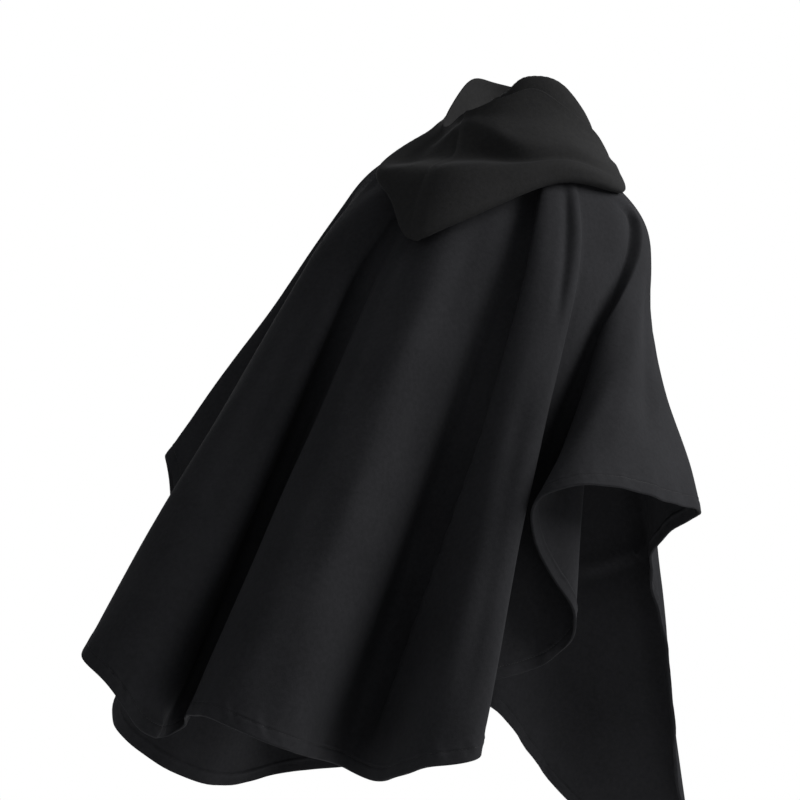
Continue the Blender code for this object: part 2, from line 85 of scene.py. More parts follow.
# One row for each line of the body cloth: from the neckline over the knee, where it bends off the shoulder,
# to the hem
STATION_COLUMNS = (
    "name", "knee_left", "knee_back", "knee_up", "hem_left", "hem_back", "hem_up", "bow", "late",
)
STATIONS = (
    ("left arm ridge", 0.216, 0.000, -0.042, 0.445, 0.000, -0.550, 0.000, 0.00),
    ("left arm back flank", 0.222, 0.022, -0.058, 0.415, 0.045, -0.620, 0.000, 0.00),
    ("left arm back hollow", 0.232, 0.040, -0.085, 0.435, 0.100, -0.760, 0.000, 0.00),
    ("outer back fold corner", 0.250, 0.062, -0.128, 0.488, 0.180, -0.852, 0.000, 0.00),
    ("outer back fold face", 0.240, 0.095, -0.150, 0.440, 0.260, -0.890, 0.000, 0.00),
    ("outer back fold inner face", 0.215, 0.124, -0.168, 0.385, 0.270, -0.940, 0.000, 0.00),
    ("first hollow flank", 0.194, 0.134, -0.168, 0.362, 0.225, -0.950, 0.000, 0.00),
    ("first hollow left", 0.178, 0.130, -0.162, 0.353, 0.176, -0.945, 0.000, 0.00),
    ("first hollow right", 0.166, 0.130, -0.158, 0.335, 0.182, -0.930, 0.000, 0.00),
    ("broad fold tuck", 0.155, 0.146, -0.162, 0.327, 0.265, -0.915, 0.000, 0.00),
    ("broad fold left", 0.135, 0.166, -0.168, 0.285, 0.352, -0.915, 0.000, 0.00),
    ("broad fold middle", 0.092, 0.175, -0.165, 0.222, 0.368, -0.930, 0.000, 0.00),
    ("broad fold right", 0.042, 0.170, -0.157, 0.163, 0.318, -0.940, 0.000, 0.20),
    ("second hollow", 0.000, 0.150, -0.140, 0.114, 0.185, -0.945, 0.000, 0.35),
    ("third fold inner flank", -0.022, 0.158, -0.147, 0.066, 0.260, -0.955, 0.000, 0.15),
    ("third fold crest", -0.048, 0.170, -0.160, 0.006, 0.362, -0.925, 0.000, 0.00),
    ("third fold edge", -0.086, 0.160, -0.160, -0.054, 0.345, -0.902, 0.000, 0.00),
    ("third hollow", -0.101, 0.144, -0.152, -0.014, 0.230, -0.830, 0.000, 0.30),
    ("underarm panel", -0.119, 0.132, -0.145, -0.062, 0.190, -0.798, 0.000, 0.40),
    ("underarm fold", -0.137, 0.114, -0.130, -0.143, 0.160, -0.752, 0.000, 0.60),
    ("underarm fold turn", -0.148, 0.102, -0.118, -0.160, 0.190, -0.702, 0.000, 0.70),
    ("right sleeve inner face", -0.157, 0.091, -0.108, -0.112, 0.225, -0.642, 0.000, 0.70),
    ("right sleeve turn", -0.164, 0.080, -0.100, -0.075, 0.262, -0.575, 0.000, 0.70),
    ("right sleeve back corner", -0.172, 0.068, -0.098, -0.110, 0.295, -0.535, 0.000, 0.60),
    ("right sleeve back", -0.179, 0.048, -0.086, -0.185, 0.270, -0.520, 0.000, 0.30),
    ("right sleeve outer back", -0.184, 0.025, -0.072, -0.270, 0.180, -0.515, -0.014, 0.00),
    ("right arm ridge", -0.189, 0.000, -0.060, -0.330, 0.040, -0.505, -0.024, 0.00),
    ("right sleeve front", -0.190, -0.030, -0.070, -0.289, -0.080, -0.549, -0.006, 0.00),
    ("right front edge top", -0.180, -0.048, -0.078, -0.333, -0.165, -0.660, 0.000, 0.00),
    ("right front edge middle", -0.168, -0.062, -0.088, -0.374, -0.220, -0.781, 0.000, 0.00),
    ("right front edge low", -0.157, -0.076, -0.099, -0.416, -0.275, -0.905, 0.000, 0.00),
    ("right front corner", -0.144, -0.090, -0.111, -0.450, -0.325, -1.006, 0.000, 0.00),
    ("right front hem low", -0.122, -0.102, -0.126, -0.345, -0.325, -0.982, 0.000, 0.00),
    ("right front hem", -0.098, -0.112, -0.140, -0.208, -0.300, -0.908, 0.000, 0.00),
    ("right front inner hollow", -0.066, -0.120, -0.150, -0.076, -0.215, -0.812, 0.000, 0.00),
    ("middle front fold", -0.010, -0.132, -0.160, 0.020, -0.320, -0.890, 0.000, 0.00),
    ("left front inner hollow", 0.050, -0.122, -0.155, 0.100, -0.215, -0.940, 0.000, 0.00),
    ("left front broad fold", 0.110, -0.122, -0.150, 0.220, -0.320, -0.975, 0.000, 0.00),
    ("left front outer hollow", 0.150, -0.098, -0.130, 0.320, -0.208, -1.004, 0.000, 0.00),
    ("left front corner fold", 0.190, -0.078, -0.110, 0.440, -0.200, -0.962, 0.000, 0.00),
    ("left front edge", 0.208, -0.055, -0.090, 0.462, -0.120, -0.900, 0.000, 0.00),
    ("left arm front flank", 0.214, -0.026, -0.060, 0.425, -0.040, -0.640, 0.000, 0.00),
)
LEFT_ARM_RIDGE = 0
RIGHT_ARM_RIDGE = 26

# One row for each upright section of the hood, by its angle from +X towards +Y
HOOD_SECTION_COLUMNS = (
    "name", "angle", "collar_out", "collar_up", "edge_out", "edge_up", "low_out", "low_up",
    "hollow_out", "hollow_up", "high_out", "high_up", "rim_out", "rim_up",
)
HOOD_SECTIONS = (
    ("front", -90, 0.084, 0.000, 0.092, 0.028, 0.098, 0.054,
     0.102, 0.074, 0.105, 0.096, 0.108, 0.120),
    ("front left", -55, 0.090, 0.018, 0.100, 0.046, 0.107, 0.068,
     0.111, 0.084, 0.115, 0.104, 0.120, 0.128),
    ("left cheek", -28, 0.094, 0.020, 0.104, 0.038, 0.109, 0.054,
     0.113, 0.068, 0.116, 0.086, 0.120, 0.106),
    ("left neck", -8, 0.094, 0.018, 0.116, 0.002, 0.120, 0.013,
     0.123, 0.023, 0.125, 0.034, 0.127, 0.048),
    ("left shoulder", 10, 0.096, 0.016, 0.143, -0.013, 0.147, -0.004,
     0.145, 0.001, 0.141, 0.005, 0.132, 0.007),
    ("upper corner", 29, 0.094, 0.026, 0.238, -0.112, 0.233, -0.096,
     0.196, -0.078, 0.162, -0.046, 0.133, 0.000),
    ("blunt end", 41, 0.091, 0.040, 0.238, -0.158, 0.232, -0.108,
     0.186, -0.078, 0.152, -0.022, 0.134, 0.012),
    ("lower corner", 50, 0.089, 0.049, 0.239, -0.208, 0.226, -0.112,
     0.174, -0.072, 0.146, -0.010, 0.130, 0.019),
    ("corner", 57, 0.087, 0.056, 0.236, -0.202, 0.222, -0.107,
     0.166, -0.071, 0.148, -0.016, 0.126, 0.028),
    ("bag", 67, 0.086, 0.074, 0.212, -0.171, 0.207, -0.098,
     0.160, -0.070, 0.154, -0.026, 0.119, 0.040),
    ("nape", 80, 0.084, 0.084, 0.179, -0.132, 0.185, -0.087,
     0.157, -0.070, 0.159, -0.040, 0.110, 0.056),
    ("right nape", 105, 0.083, 0.084, 0.145, -0.083, 0.159, -0.059,
     0.143, -0.049, 0.143, -0.026, 0.107, 0.046),
    ("right neck", 134, 0.085, 0.060, 0.142, -0.064, 0.149, -0.049,
     0.138, -0.040, 0.134, -0.025, 0.106, 0.030),
    ("right end", 160, 0.089, 0.034, 0.150, -0.053, 0.152, -0.041,
     0.144, -0.031, 0.136, -0.018, 0.110, 0.018),
    ("right shoulder", 174, 0.091, 0.020, 0.138, -0.036, 0.142, -0.023,
     0.137, -0.014, 0.131, -0.004, 0.118, 0.008),
    ("right cheek", 197, 0.092, 0.012, 0.120, -0.012, 0.124, -0.002,
     0.123, 0.006, 0.121, 0.014, 0.117, 0.026),
    ("front right", 228, 0.087, -0.004, 0.100, 0.006, 0.104, 0.018,
     0.107, 0.028, 0.109, 0.040, 0.110, 0.056),
)

# Creases in the body cloth. Top, middle and low are stations, as numbers along the ring, at the crease's
# start, middle and end. Start and stop are shares of the way down. Before and after are its widths in metres
# on its two sides, before being the side of the lower stations. Height is in metres, a trough's below nought.
CREASE_COLUMNS = ("name", "top", "middle", "low", "start", "stop", "before", "after", "height")
BODY_CREASES = (
    ("small shoulder fold", 15.75, 15.75, 15.70, 0.08, 0.37, 0.010, 0.008, -0.0065),
    ("small shoulder ridge", 16.30, 16.40, 16.50, 0.10, 0.60, 0.013, 0.020, 0.0040),
    ("first hollow, crisp", 6.20, 7.05, 7.70, 0.14, 0.98, 0.026, 0.010, -0.0100),
    ("first hollow, lip", 8.60, 8.90, 9.00, 0.20, 0.80, 0.018, 0.030, 0.0030),
    ("broad fold, left trough", 9.90, 10.10, 10.20, 0.15, 0.62, 0.018, 0.026, -0.0040),
    ("broad fold, middle ridge", 10.90, 11.00, 11.00, 0.16, 0.80, 0.024, 0.024, 0.0040),
    ("broad fold, soft trough", 11.80, 11.90, 12.10, 0.15, 0.66, 0.022, 0.026, -0.0045),
    ("broad fold, low ridge", 12.40, 12.45, 12.30, 0.34, 0.98, 0.026, 0.022, 0.0045),
    ("broad fold, low trough", 10.40, 10.60, 10.80, 0.60, 1.02, 0.030, 0.026, -0.0035),
    ("outer fold, soft trough", 4.40, 4.30, 4.20, 0.25, 0.85, 0.026, 0.022, -0.0050),
    ("outer fold, soft ridge", 5.20, 5.30, 5.30, 0.20, 0.90, 0.022, 0.016, 0.0040),
    ("third fold, soft trough", 15.20, 15.30, 15.30, 0.40, 0.95, 0.020, 0.014, -0.0040),
    ("sleeve, soft trough", 25.30, 24.90, 24.50, 0.34, 0.92, 0.022, 0.018, -0.0045),
    ("sleeve, soft ridge", 24.60, 24.10, 23.70, 0.36, 0.95, 0.018, 0.022, 0.0030),
    ("sleeve, elbow trough", 26.20, 25.80, 25.40, 0.34, 0.70, 0.014, 0.012, -0.0035),
    ("left arm, trough", 0.70, 0.80, 1.00, 0.20, 0.80, 0.014, 0.014, -0.0035),
    ("front, left trough", 39.40, 39.50, 39.50, 0.20, 0.85, 0.024, 0.024, -0.0045),
    ("front, left ridge", 37.30, 37.30, 37.40, 0.20, 0.95, 0.026, 0.026, 0.0045),
    ("front, middle trough", 34.20, 34.10, 34.00, 0.18, 0.90, 0.014, 0.016, -0.0055),
    ("front, middle ridge", 35.40, 35.30, 35.20, 0.25, 0.90, 0.022, 0.022, 0.0040),
    ("front, right ridge", 32.50, 32.50, 32.40, 0.22, 0.90, 0.026, 0.020, 0.0040),
    ("front, right trough", 31.40, 31.50, 31.50, 0.24, 0.92, 0.022, 0.022, -0.0045),
    ("front, arm trough", 28.40, 28.50, 28.50, 0.25, 0.85, 0.014, 0.014, -0.0035),
)
CREASE_FADE = 0.28

# Edges of folds that lap over the cloth beside them, as points on the body cloth from one end to the other.
# Strength runs from 0, where the fold fades out, to 1.
FOLD_COLUMNS = ("left", "back", "up", "strength")
SLEEVE_FOLD = (
    (-0.118, 0.079, -0.068, 0.0),
    (-0.144, 0.062, -0.073, 0.3),
    (-0.161, 0.047, -0.078, 0.6),
    (-0.173, 0.045, -0.091, 0.8),
    (-0.176, 0.058, -0.112, 1.0),
    (-0.175, 0.080, -0.150, 1.0),
    (-0.166, 0.105, -0.192, 1.0),
    (-0.155, 0.121, -0.229, 1.0),
    (-0.146, 0.131, -0.267, 1.0),
    (-0.137, 0.138, -0.303, 1.0),
    (-0.128, 0.145, -0.345, 1.0),
    (-0.112, 0.159, -0.413, 0.9),
    (-0.103, 0.166, -0.462, 0.5),
    (-0.092, 0.174, -0.512, 0.0),
)
SECOND_HOLLOW_EDGE = (
    (-0.020, 0.120, -0.085, 0.0),
    (-0.019, 0.136, -0.107, 0.8),
    (-0.019, 0.164, -0.188, 1.0),
    (-0.016, 0.182, -0.265, 1.0),
    (-0.006, 0.199, -0.367, 1.0),
    (0.005, 0.217, -0.470, 1.0),
    (0.020, 0.219, -0.560, 1.0),
    (0.033, 0.220, -0.640, 1.0),
    (0.058, 0.216, -0.778, 0.8),
    (0.082, 0.212, -0.880, 0.3),
    (0.090, 0.210, -0.920, 0.0),
)
FOREARM_EDGE = (
    (-0.175, -0.228, -0.595, 0.0),
    (-0.205, -0.227, -0.587, 0.7),
    (-0.227, -0.222, -0.579, 1.0),
    (-0.256, -0.214, -0.562, 1.0),
    (-0.284, -0.206, -0.546, 0.8),
    (-0.305, -0.185, -0.530, 0.0),
)
# One row for each lapping fold: its edge, how far it stands up on its own side and sinks on the other, how
# wide each is, and half of the width of the turn between them
LAPPED_COLUMNS = ("lip", "trough", "lip_width", "trough_width", "turn")
LAPPED_FOLDS = (
    (SLEEVE_FOLD, 0.0070, 0.0115, 0.028, 0.019, 0.0055),
    (SECOND_HOLLOW_EDGE, 0.0070, 0.0150, 0.028, 0.026, 0.0075),
    (FOREARM_EDGE, 0.0050, 0.0080, 0.030, 0.020, 0.0045),
)
FOLD_POINTS = 160
FOLD_SMOOTHING = 40

# Slow unevenness of the body cloth: waves round the ring, waves down it, phase and height
UNEVEN_COLUMNS = ("waves_round", "waves_down", "phase", "height")
BODY_UNEVEN = (
    (17, 1.3, 0.4, 0.0014),
    (29, 2.1, 2.0, 0.0010),
    (41, 3.2, 4.4, 0.0007),
)

# Small drags in the hem band, as sines along the hem: radians a metre, phase and share of the height
PUCKER_COLUMNS = ("pace", "phase", "share")
HEM_PUCKERS = (
    (260, 0.0, 1.0),
    (411, 1.0, 0.8),
    (173, 2.1, 0.5),
)
PUCKER_HEIGHT = 0.0008
DRAG_HEIGHT = 0.0018

# A seam's dip and the soft welt beside it, and the hem's raised band and the pinch of its stitching
SEAM_DIP = 0.0013
SEAM_DIP_WIDTH = 0.0022
WELT = 0.0005
WELT_AWAY = 0.008
WELT_WIDTH = 0.004
BAND_RISE = 0.0007
STITCH_PINCH = 0.0008
PINCH_WIDTH = 0.0016

STITCH_SIZES = {"pitch": 0.0045, "long": 0.0034, "wide": 0.0007, "high": 0.00035}
STITCH_TAPER = (0.25, 0.85, 1.0, 0.85, 0.25)
STITCH_SIDES = 6
STITCH_LIFT = 0.35
EDGE_TURN = CLOTH * 0.55


def columns_of(table, columns, *names):
    """The named columns of a table as an array, one row for each of its rows."""
    picked = [columns.index(name) for name in names]
    return np.array([[row[i] for i in picked] for row in table], float)


def ring_spline(knots, values, at):
    """A closed curve: a periodic cubic through values at knots, in 0 to 1, its curvature even across them."""
    count = len(knots)
    gap = np.diff(np.append(knots, knots[0] + 1.0))
    after = np.roll(values, -1, axis=0)
    rise = (after - values) / gap[:, None]
    before_gap = np.roll(gap, 1)
    here = np.arange(count)
    system = np.zeros((count, count))
    system[here, here - 1] = gap
    system[here, here] = 2 * (before_gap + gap)
    system[here, (here + 1) % count] = before_gap
    target = 3 * (np.roll(rise, 1, axis=0) * gap[:, None] + rise * before_gap[:, None])
    slope = np.linalg.solve(system, target)
    wrapped = (np.asarray(at) - knots[0]) % 1.0 + knots[0]
    span = np.clip(np.searchsorted(knots, wrapped, side="right") - 1, 0, count - 1)
    width = gap[span][:, None]
    t = ((wrapped - knots[span]) / gap[span])[:, None]
    ends = slope[span] * width, np.roll(slope, -1, axis=0)[span] * width
    return cubic(values[span], ends[0], after[span], ends[1], t)


def cubic(start, start_slope, end, end_slope, t):
    """A cubic from start to end with those slopes, at the share t."""
    return (
        start * (2 * t**3 - 3 * t**2 + 1)
        + start_slope * (t**3 - 2 * t**2 + t)
        + end * (3 * t**2 - 2 * t**3)
        + end_slope * (t**3 - t**2)
    )


def ring_knots(points):
    """Parameters for a closed ring of points, spaced by the square root of the distance between them."""
    step = np.sqrt(np.linalg.norm(np.roll(points, -1, axis=0) - points, axis=1))
    return np.concatenate([[0.0], np.cumsum(step)[:-1]]) / step.sum()


def unit(vectors):
    """The vectors, each divided by its length."""
    return vectors / np.maximum(np.linalg.norm(vectors, axis=-1, keepdims=True), 1e-12)


def soft_step(low, high, value):
    """0 below low, 1 above high, and 3t^2 - 2t^3 between them."""
    t = np.clip((value - low) / (high - low), 0, 1)
    return t * t * (3 - 2 * t)


def neckline(toward):
    """The point of the neckline ellipse that lies towards each given point, seen from above."""
    angle = np.arctan2(toward[:, 1] / NECK_HALF_DEPTH, toward[:, 0] / NECK_HALF_WIDTH)
    up = NECK_FRONT_UP + (NECK_BACK_UP - NECK_FRONT_UP) * (1 + np.sin(angle)) / 2
    return np.stack([NECK_HALF_WIDTH * np.cos(angle), NECK_HALF_DEPTH * np.sin(angle), up], axis=1)


def bent_ray(start, knee, end, rounding, steps):
    """Straight from start, a parabola round the knee, and straight to end, with that many steps in each."""
    first = np.linalg.norm(knee - start, axis=1, keepdims=True)
    second = np.linalg.norm(end - knee, axis=1, keepdims=True)
    enter = knee + (start - knee) * rounding
    leave = knee + (end - knee) * rounding * first / second
    t = [np.arange(count)[:, None, None] / count for count in steps[:2]]
    t.append(np.linspace(0, 1, steps[2] + 1)[:, None, None])
    over = start + (enter - start) * t[0]
    bend = enter * (1 - t[1]) ** 2 + knee * 2 * t[1] * (1 - t[1]) + leave * t[1] ** 2
    fall = leave + (end - leave) * t[2]
    return np.concatenate([over, bend, fall]).transpose(1, 0, 2)


def body_rays(at, steps):
    """The body cloth: for each parameter in at, a bent line from the neckline over the knee to the hem."""
    knees = columns_of(STATIONS, STATION_COLUMNS, "knee_left", "knee_back", "knee_up")
    hems = columns_of(STATIONS, STATION_COLUMNS, "hem_left", "hem_back", "hem_up")
    bow_late = columns_of(STATIONS, STATION_COLUMNS, "bow", "late")
    knots = ring_knots(hems)
    knee = ring_spline(knots, knees, at)
    hem = ring_spline(knots, hems, at)
    rows = bent_ray(neckline(knee), knee, hem, SHOULDER_ROUND, steps)
    fallen = np.clip((rows[:, :, 2] - knee[:, None, 2]) / (hem - knee)[:, None, 2], 0, 1)
    away = knee * (1, 1, 0) / np.linalg.norm(knee[:, :2], axis=1, keepdims=True)
    bow, late = ring_spline(knots, bow_late, at).T[:, :, None]
    swell = bow * np.sin(np.pi * fallen) ** 2
    reach = np.linspace(-FOLD_SPAN, FOLD_SPAN, FOLD_SAMPLES)
    plain = np.mean([ring_spline(knots, hems, at + shift) for shift in reach], axis=0)
    held = fallen ** (1 + np.clip(late, 0, 1)) - fallen
    return rows + swell[:, :, None] * away[:, None] + held[:, :, None] * (hem - plain)[:, None]


def grid_normals(points, passes=0):
    """Unit normals of a ring of rows, from the steps along and down, averaged with neighbours in passes."""
    along = np.roll(points, -1, axis=0) - np.roll(points, 1, axis=0)
    normal = unit(np.cross(np.gradient(points, axis=1), along))
    for _ in range(passes):
        padded = np.concatenate([normal[:, :1], normal, normal[:, -1:]], axis=1)
        round_it = np.roll(normal, 1, axis=0) + np.roll(normal, -1, axis=0)
        normal = unit(2 * normal + round_it + padded[:, 2:] + padded[:, :-2])
    return normal


def lengths_down(points):
    """Distance down each line of a grid from its first point."""
    step = np.linalg.norm(np.diff(points, axis=1), axis=2)
    return np.concatenate([np.zeros((len(points), 1)), np.cumsum(step, axis=1)], axis=1)


def read_lines(points, wanted):
    """Points of each line at the wanted distances down it, on the straight between its two nearest points."""
    length = lengths_down(points)
    after = (length[:, None, :] <= wanted[:, :, None] + 1e-9).sum(axis=2).clip(1, points.shape[1] - 1)
    low = np.take_along_axis(length, after - 1, axis=1)
    high = np.take_along_axis(length, after, axis=1)
    t = np.clip((wanted - low) / np.maximum(high - low, 1e-12), 0, 1)[:, :, None]
    start = np.take_along_axis(points, (after - 1)[:, :, None], axis=1)
    end = np.take_along_axis(points, after[:, :, None], axis=1)
    return start + (end - start) * t


def arcs_round(points):
    """Distance round each row of a ring of lines from the first line, and each row's whole length."""
    step = np.linalg.norm(np.roll(points, -1, axis=0) - points, axis=2)
    return np.concatenate([np.zeros((1, points.shape[1])), np.cumsum(step, axis=0)[:-1]]), step.sum(axis=0)


def crease_heights(table, place, down, arc, whole):
    """The sum of a table's creases: each is height * exp(-(distance from its line / its side's width)^2).

    It fades to nothing at its ends. place is each line's own number along the ring, down the share of the way
    down of each row, and arc and whole the distances round it. A crease's line goes through its top, middle
    and low places on a parabola.
    """
    heights = np.zeros_like(arc)
    rows = np.arange(len(down))
    for row in columns_of(table, CREASE_COLUMNS, *CREASE_COLUMNS[1:]):
        top, middle, low, start, stop, before, after, height = row
        t = (down - start) / (stop - start)
        line = top * (1 - t) * (1 - 2 * t) + 4 * middle * t * (1 - t) + low * t * (2 * t - 1)
        line = np.clip(line, place[0], place[-1])
        onward = np.searchsorted(place, line).clip(1, len(place) - 1)
        part = (line - place[onward - 1]) / (place[onward] - place[onward - 1])
        centre = arc[onward - 1, rows] * (1 - part) + arc[onward, rows] * part
        away = (arc - centre + whole / 2) % whole - whole / 2
        fade = soft_step(0, CREASE_FADE, t) * soft_step(0, CREASE_FADE, 1 - t)
        heights += height * fade * np.exp(-((away / np.where(away < 0, before, after)) ** 2))
    return heights


def lapped_fold(points, normals, edge, lip, trough, lip_width, trough_width, turn):
    """Heights of one fold that laps over the cloth beside it, along an edge given as points on the cloth.

    On its own side it is lip * exp(-(d / lip_width)^2), on the other -trough * exp(-(d / trough_width)^2), d
    being the distance from the edge, and a soft step turn to each side of the edge joins the two.
    """
    edge = columns_of(edge, FOLD_COLUMNS, *FOLD_COLUMNS)
    share = np.linspace(0, len(edge) - 1, FOLD_POINTS)
    line = np.stack([np.interp(share, np.arange(len(edge)), column) for column in edge.T], axis=1)
    for _ in range(FOLD_SMOOTHING):
        line[1:-1] = (line[:-2] + 2 * line[1:-1] + line[2:]) / 4
    along = unit(np.gradient(line[:, :3], axis=0))
    flat = points.reshape(-1, 3)
    low = line[:, :3].min(axis=0) - 3 * trough_width
    high = line[:, :3].max(axis=0) + 3 * trough_width
    near = ((flat > low) & (flat < high)).all(axis=1)
    chosen = flat[near]
    apart = np.linalg.norm(chosen[:, None] - line[None, :, :3], axis=2)
    nearest = apart.argmin(axis=1)
    apart = apart.min(axis=1)
    side = np.cross(normals.reshape(-1, 3)[near], along[nearest])
    over = soft_step(-turn, turn, ((chosen - line[nearest, :3]) * side).sum(axis=1))
    raised = lip * np.exp(-((apart / lip_width) ** 2)) * over
    sunk = trough * np.exp(-((apart / trough_width) ** 2)) * (1 - over)
    heights = np.zeros(len(flat))
    heights[near] = (raised - sunk) * line[nearest, 3]
    return heights.reshape(points.shape[:2])


def eased(points, share, passes):
    """Points moved to the mean of their neighbours round the ring, by the share for each, passes times."""
    for _ in range(passes):
        mean = (np.roll(points, 1, axis=0) + np.roll(points, -1, axis=0)) / 2
        points = points + (mean - points) * share[:, :, None]
    return points


def add_mesh(name, verts, faces, uv=None, smooth_angle=55):
    """A mesh object at the origin from arrays of points and of four-sided faces, with a UV map in metres."""
    mesh = bpy.data.meshes.new(name)
    mesh.vertices.add(len(verts))
    mesh.vertices.foreach_set("co", np.ascontiguousarray(verts, np.float32).ravel())
    mesh.loops.add(faces.size)
    mesh.loops.foreach_set("vertex_index", np.ascontiguousarray(faces, np.int32).ravel())
    mesh.polygons.add(len(faces))
    mesh.polygons.foreach_set("loop_start", np.arange(0, faces.size, faces.shape[1], dtype=np.int32))
    mesh.update(calc_edges=True)
    if uv is not None:
        layer = mesh.uv_layers.new(name="cloth")
        layer.data.foreach_set("uv", np.ascontiguousarray(uv[faces.ravel()], np.float32).ravel())
    mesh.shade_smooth()
    mesh.set_sharp_from_angle(angle=math.radians(smooth_angle))
    piece = bpy.data.objects.new(name, mesh)
    bpy.context.scene.collection.objects.link(piece)
    return piece


def grid_faces(across, down, closed_down=False):
    """Four-sided faces of a grid of lines, facing the side from which the lines run left to right."""
    number = np.arange(across * down).reshape(across, down)
    if closed_down:
        number = np.concatenate([number, number[:, :1]], axis=1)
    corners = number[:-1, :-1], number[:-1, 1:], number[1:, 1:], number[1:, :-1]
    return np.stack(corners, axis=-1).reshape(-1, 4)


def cloth_wall(name, outer, normals, thickness, edge_length):
    """A panel of cloth: its outer face, a half-round turn at its free edge, and its inner face, as one skin.

    The inner face is the outer one moved in by thickness along the normals, and the turn is the half ellipse
    of that height and of edge_length. The lines are closed by a strip at the neck, and the ends are capped.
    """
    inner = outer - thickness[:, :, None] * normals
    onward = unit(outer[:, -1] - outer[:, -2])
    angle = np.linspace(0, np.pi, 6)[1:-1, None, None]
    middle = (outer[:, -1] + inner[:, -1]) / 2
    turn = middle + (outer[:, -1] - middle) * np.cos(angle) + onward * edge_length * np.sin(angle)
    skin = np.concatenate([outer, turn.transpose(1, 0, 2), inner[:, ::-1]], axis=1)
    across, down = skin.shape[:2]
    length = lengths_down(outer)
    arc = np.concatenate([[0], np.cumsum(np.linalg.norm(np.diff(outer[:, -1], axis=0), axis=1))])
    v = np.concatenate([length, np.repeat(length[:, -1:], 4, axis=1), length[:, ::-1]], axis=1)
    uv = np.stack([np.repeat(arc[:, None], down, axis=1), v], axis=-1).reshape(-1, 2)
    faces = grid_faces(across, down, closed_down=True)
    number = np.arange(across * down).reshape(across, down)
    half = down // 2
    ends = []
    for line, order in ((number[0], 1), (number[-1], -1)):
        back = line[::-1]
        pairs = np.stack([line[: half - 1], back[: half - 1], back[1:half], line[1:half]], axis=-1)
        ends.append(pairs[:, ::order])
    return add_mesh(name, skin.reshape(-1, 3), np.concatenate([faces, *ends]), uv)


def stitches(name, lines, normals, pitch, long, wide, high):
    """A row of thread stitches on a curve: each is a low half-round bead, long by wide, thin at its ends."""
    step = np.linalg.norm(np.diff(lines, axis=0), axis=1)
    arc = np.concatenate([[0], np.cumsum(step)])
    count = int(arc[-1] / pitch)
    across_one = np.linspace(-0.5, 0.5, len(STITCH_TAPER)) * long
    along = (np.arange(count) + 0.5)[:, None] * arc[-1] / count + across_one

    def read(values):
        """The curve's values at each point of each stitch, on the straight between the nearest two."""
        return np.stack([np.interp(along, arc, values[:, i]) for i in range(3)], axis=-1)

    centre, up = read(lines), unit(read(normals))
    side = unit(np.cross(np.gradient(centre, axis=1), up))
    size = np.array(STITCH_TAPER)[None, :, None]
    angle = np.linspace(0, 2 * np.pi, STITCH_SIDES + 1)[:-1]
    ring = [
        centre + side * size * wide / 2 * np.cos(a) + up * (size * high * np.sin(a) + high * STITCH_LIFT)
        for a in angle
    ]
    verts = np.stack(ring, axis=2)
    number = np.arange(verts[..., 0].size).reshape(verts.shape[:3])
    number = np.concatenate([number, number[:, :, :1]], axis=2)
    faces = np.stack(
        [number[:, :-1, :-1], number[:, :-1, 1:], number[:, 1:, 1:], number[:, 1:, :-1]], axis=-1
    ).reshape(-1, 4)
    caps = np.concatenate([
        number[:, 0, [3, 2, 1, 0]], number[:, 0, [5, 4, 3, 0]],
        number[:, -1, [0, 1, 2, 3]], number[:, -1, [0, 3, 4, 5]],
    ])
    return add_mesh(name, verts.reshape(-1, 3), np.concatenate([faces, caps]))


# Body cloth

EVEN_STEPS = 13
SEAM_STEPS = (0.012, 0.030, 0.055)
ROWS_FALL = 122
BODY_STEPS = (24, 36, 120)
EDGE_ZONE = 0.047
EDGE_DISTANCES = (
    0.040, 0.032, 0.026, 0.0225, 0.0205, 0.019, 0.0175, 0.0165,
    0.0155, 0.014, 0.011, 0.008, 0.005, 0.0025, 0.0012,
)
# The stations between which lines crowd together under the sleeve, and the shares down where they part again
CROWDED_FROM = (17.6, 18.6)
CROWDED_TO = (23.8, 24.8)
CROWDED_DOWN = (0.36, 0.60)
EASE_PASSES = 150
# Shares of a line's spacing at the hem below which the slow unevenness fades and above which it is whole
UNEVEN_SPREAD = (0.30, 0.85)
SEAM_START = (0.002, 0.020)

hem_points = columns_of(STATIONS, STATION_COLUMNS, "hem_left", "hem_back", "hem_up")
station_knots = ring_knots(hem_points)


def body_lines():
    """Ring parameters and station numbers of the body's lines: even, with closer ones beside the seams."""
    even = np.arange(len(STATIONS) * EVEN_STEPS) / EVEN_STEPS
    beside = np.concatenate([np.negative(SEAM_STEPS), SEAM_STEPS])
    near = [seam + beside for seam in (LEFT_ARM_RIDGE, RIGHT_ARM_RIDGE)]
    station = np.unique(np.round(np.concatenate([even, *near]) % len(STATIONS), 6))
    closed = np.append(station_knots, 1.0)
    return np.interp(station, np.arange(len(closed)), closed), station


def hem_puckers(arc, from_edge):
    """Small slanting drags in the hem band: a sum of sines along the hem, swelling and fading, in metres."""
    slant = arc + 0.6 * from_edge
    swell = 0.55 + 0.45 * np.sin(slant * 11.0 + 1.3) * np.sin(slant * 4.1)
    sines = columns_of(HEM_PUCKERS, PUCKER_COLUMNS, *PUCKER_COLUMNS)
    waves = sum(share * np.sin(slant * pace + phase) for pace, phase, share in sines)
    band = soft_step(0.036, 0.019, from_edge) * soft_step(0, 0.010, from_edge)
    slow = np.sin(arc * 96 + 0.7) + 0.7 * np.sin(arc * 61 + 2.9) * np.sin(arc * 13)
    drags = slow * swell * soft_step(0.070, 0.006, from_edge)
    return PUCKER_HEIGHT * waves * swell * band + DRAG_HEIGHT * drags


def seam_dip(distance):
    """The cloth's dip beside a seam and the soft welt next to it, by the distance from the seam in metres."""
    dip = SEAM_DIP * np.exp(-((distance / SEAM_DIP_WIDTH) ** 2))
    return WELT * np.exp(-(((distance - WELT_AWAY) / WELT_WIDTH) ** 2)) - dip


